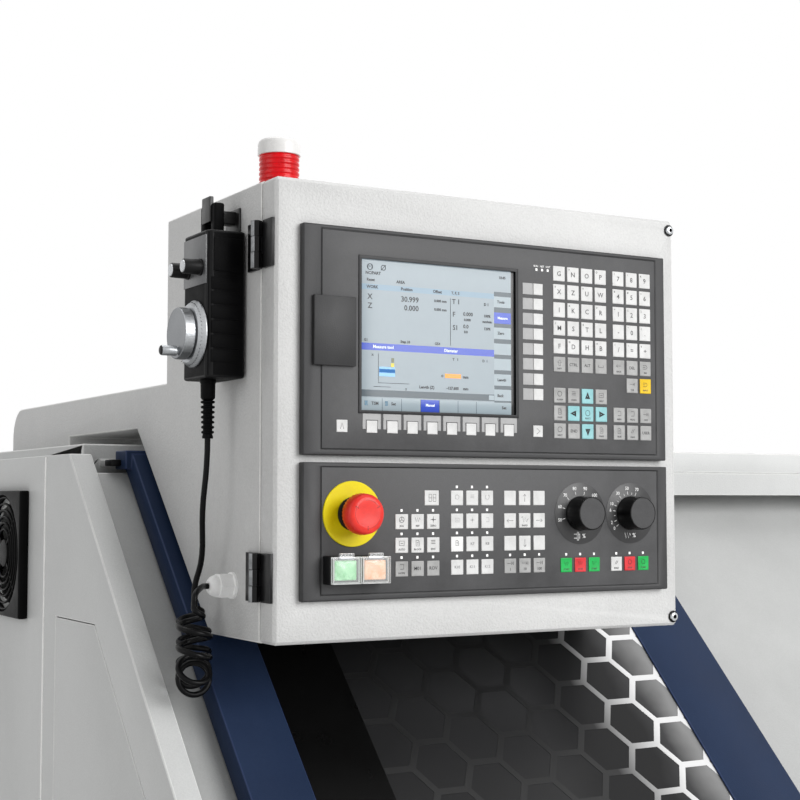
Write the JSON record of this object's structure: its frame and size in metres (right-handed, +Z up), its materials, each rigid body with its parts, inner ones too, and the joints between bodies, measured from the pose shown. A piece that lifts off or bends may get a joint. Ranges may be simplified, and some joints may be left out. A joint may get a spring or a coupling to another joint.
{
  "type": "cnc turning lathe",
  "caption": "Enclosed flat-bed CNC turning lathe with sloping front, sliding work door, swing-open control console on an arm, signal lamp and hand-held pendant.",
  "frame": {"origin": "centre of the four floor anchor holes, at floor level", "axes": "+X along the spindle towards the tailstock (right as seen by the operator), +Y into the machine, +Z up"},
  "size_m": [1.911, 1.0853, 1.8466],
  "materials": {
    "enclosure_paint": "fine textured, very light grey",
    "panel_paint": "fine textured, mid grey",
    "door_paint": "fine textured, navy blue",
    "base_paint": "satin, dark grey",
    "casting_paint": "painted and ground cast iron",
    "ground_steel": "ground",
    "motor_paint": "satin black",
    "belt_rubber": "matt",
    "black_plastic": "matt black",
    "pendant_plastic": "fine textured black",
    "window_pane": "dark tinted with a honeycomb print",
    "screen_glass": "lit display",
    "keypad_foil": "satin foil, light grey keys",
    "flap_plastic": "dark grey",
    "stop_yellow": "yellow",
    "stop_red": "red",
    "start_green": "green lens",
    "hold_orange": "orange lens",
    "clear_guard": "clear",
    "white_plastic": "white",
    "hinge_black": "black",
    "screw_chrome": "bright",
    "hook_steel": "painted",
    "cord_jacket": "glossy black"
  },
  "bodies": {
    "machine": {"base_frame": "base_paint", "bed": "casting_paint", "headstock": "casting_paint", "spindle_motor": "motor_paint", "drive_belt": "belt_rubber", "left_housing": "enclosure_paint", "right_housing": "enclosure_paint", "fan_guard": "black_plastic", "front_cover": "panel_paint", "canopy": "enclosure_paint", "console_shell": "enclosure_paint", "hinge_fixed_leaves": "hinge_black", "lamp_base_ring": "white_plastic", "lamp_lens_drum": "stop_red", "lamp_cap_dome": "white_plastic", "pendant_hook": "hook_steel", "pendant_housing": "pendant_plastic", "strain_relief": "belt_rubber", "cable_gland": "white_plastic", "cord": "cord_jacket"},
    "access_leaf": {"access_door": "enclosure_paint"},
    "fan": {"fan_rotor": "black_plastic"},
    "spindle_unit": {"spindle": "ground_steel", "chuck_body": "ground_steel"},
    "motor_rotor": {"motor_pulley": "ground_steel"},
    "jaw_1": {"chuck_jaw_1": "ground_steel"},
    "jaw_2": {"chuck_jaw_2": "ground_steel"},
    "jaw_3": {"chuck_jaw_3": "ground_steel"},
    "carriage_unit": {"carriage": "casting_paint"},
    "screw_unit": {"feed_screw": "ground_steel"},
    "slide_unit": {"cross_slide": "casting_paint"},
    "turret_unit": {"turret": "ground_steel"},
    "tailstock_unit": {"tailstock": "casting_paint"},
    "quill_unit": {"tail_quill": "ground_steel"},
    "work_door": {"sliding_door": "door_paint", "door_window": "window_pane", "door_handle": "black_plastic"},
    "cabinet_leaf": {"cabinet_door": "enclosure_paint"},
    "console_leaf": {"console_door": "enclosure_paint", "door_screws": "screw_chrome", "hinge_door_leaves": "hinge_black", "operator_panel": "black_plastic", "display_screen": "screen_glass", "operator_keypad": "keypad_foil", "control_panel": "black_plastic", "control_keypad": "keypad_foil", "estop_collar": "stop_yellow", "button_block": "black_plastic"},
    "card_leaf": {"card_flap": "flap_plastic"},
    "stop_head": {"estop_button": "stop_red"},
    "start_cap": {"start_button": "start_green"},
    "hold_cap": {"hold_button": "hold_orange"},
    "start_cover": {"start_guard": "clear_guard"},
    "hold_cover": {"hold_guard": "clear_guard"},
    "spindle_knob": {"spindle_override_knob": "black_plastic"},
    "feed_knob": {"feed_override_knob": "black_plastic"},
    "handwheel": {"pendant_handwheel": "screw_chrome"},
    "axis_knob": {"axis_selector": "pendant_plastic"},
    "step_knob": {"step_selector": "pendant_plastic"}
  },
  "joints": [
    {"name": "access_door_hinge", "type": "hinge", "parent": "machine", "child": "access_leaf", "pos_m": [-0.95, -0.0524, 1.03], "axis": [0, 0, -1], "range_deg": [0, 100]},
    {"name": "fan_spin", "type": "hinge", "parent": "machine", "child": "fan", "pos_m": [-0.934, 0.126, 1.4175], "axis": [1, 0, 0], "continuous": true},
    {"name": "spindle_spin", "type": "hinge", "parent": "machine", "child": "spindle_unit", "pos_m": [-0.7, 0, 1.085], "axis": [1, 0, 0], "continuous": true},
    {"name": "motor_spin", "type": "hinge", "parent": "machine", "child": "motor_rotor", "pos_m": [-0.8, 0.29, 0.79], "axis": [1, 0, 0], "continuous": true},
    {"name": "jaw_1_slide", "type": "slide", "parent": "spindle_unit", "child": "jaw_1", "axis": [0, 0, 1], "range_m": [-0.012, 0.003]},
    {"name": "jaw_2_slide", "type": "slide", "parent": "spindle_unit", "child": "jaw_2", "axis": [0, -0.866, -0.5], "range_m": [-0.012, 0.003]},
    {"name": "jaw_3_slide", "type": "slide", "parent": "spindle_unit", "child": "jaw_3", "axis": [0, 0.866, -0.5], "range_m": [-0.012, 0.003]},
    {"name": "carriage_travel", "type": "slide", "parent": "machine", "child": "carriage_unit", "axis": [1, 0, 0], "range_m": [-0.05, 0.35]},
    {"name": "screw_spin", "type": "hinge", "parent": "machine", "child": "screw_unit", "pos_m": [0, -0.134, 0.784], "axis": [1, 0, 0], "range_deg": [-1810, 12610]},
    {"name": "cross_travel", "type": "slide", "parent": "carriage_unit", "child": "slide_unit", "axis": [0, 1, 0], "range_m": [-0.06, 0.12]},
    {"name": "turret_index", "type": "hinge", "parent": "slide_unit", "child": "turret_unit", "pos_m": [-0.325, -0.14, 1.03], "axis": [0, 0, 1], "continuous": true},
    {"name": "tailstock_travel", "type": "slide", "parent": "machine", "child": "tailstock_unit", "axis": [1, 0, 0], "range_m": [-0.1, 0.15]},
    {"name": "quill_travel", "type": "slide", "parent": "tailstock_unit", "child": "quill_unit", "axis": [-1, 0, 0], "range_m": [0, 0.08]},
    {"name": "work_door_travel", "type": "slide", "parent": "machine", "child": "work_door", "axis": [1, 0, 0], "range_m": [0, 0.56]},
    {"name": "cabinet_door_hinge", "type": "hinge", "parent": "machine", "child": "cabinet_leaf", "pos_m": [-0.5485, 0.5093, 1.09], "axis": [0, 0, 1], "range_deg": [0, 110]},
    {"name": "console_door_hinge", "type": "hinge", "parent": "machine", "child": "console_leaf", "pos_m": [-0.8811, -0.41375, 1.56], "axis": [0, 0, -1], "range_deg": [0, 100]},
    {"name": "card_flap_hinge", "type": "hinge", "parent": "console_leaf", "child": "card_leaf", "pos_m": [-0.842, -0.4523, 1.633], "axis": [0, 0, -1], "range_deg": [0, 110]},
    {"name": "stop_press", "type": "slide", "parent": "console_leaf", "child": "stop_head", "axis": [0, 1, 0], "range_m": [0, 0.004]},
    {"name": "start_press", "type": "slide", "parent": "console_leaf", "child": "start_cap", "axis": [0, 1, 0], "range_m": [0, 0.003], "stiffness_N_per_m": 400, "springref_m": -0.001},
    {"name": "hold_press", "type": "slide", "parent": "console_leaf", "child": "hold_cap", "axis": [0, 1, 0], "range_m": [0, 0.003], "stiffness_N_per_m": 400, "springref_m": -0.001},
    {"name": "start_guard_flip", "type": "hinge", "parent": "console_leaf", "child": "start_cover", "pos_m": [-0.8154, -0.4641, 1.4293], "axis": [-1, 0, 0], "range_deg": [0, 100]},
    {"name": "hold_guard_flip", "type": "hinge", "parent": "console_leaf", "child": "hold_cover", "pos_m": [-0.7854, -0.4641, 1.4293], "axis": [-1, 0, 0], "range_deg": [0, 100]},
    {"name": "spindle_knob_turn", "type": "hinge", "parent": "console_leaf", "child": "spindle_knob", "pos_m": [-0.5451, -0.455, 1.4665], "axis": [0, 1, 0], "range_deg": [-130, 130]},
    {"name": "feed_knob_turn", "type": "hinge", "parent": "console_leaf", "child": "feed_knob", "pos_m": [-0.4822, -0.455, 1.4665], "axis": [0, 1, 0], "range_deg": [-130, 130]},
    {"name": "handwheel_spin", "type": "hinge", "parent": "machine", "child": "handwheel", "pos_m": [-0.93, -0.351, 1.634], "axis": [1, 0, 0], "continuous": true},
    {"name": "axis_turn", "type": "hinge", "parent": "machine", "child": "axis_knob", "pos_m": [-0.925, -0.366, 1.695], "axis": [1, 0, 0], "range_deg": [-90, 90]},
    {"name": "step_turn", "type": "hinge", "parent": "machine", "child": "step_knob", "pos_m": [-0.925, -0.336, 1.695], "axis": [1, 0, 0], "range_deg": [-90, 90]}
  ],
  "couplings": [
    {"joint": "motor_spin", "follows": "spindle_spin", "ratio": 1.6},
    {"joint": "jaw_2_slide", "follows": "jaw_1_slide", "ratio": 1},
    {"joint": "jaw_3_slide", "follows": "jaw_1_slide", "ratio": 1},
    {"joint": "screw_spin", "follows": "carriage_travel", "rad_per_m": 628.32}
  ]
}
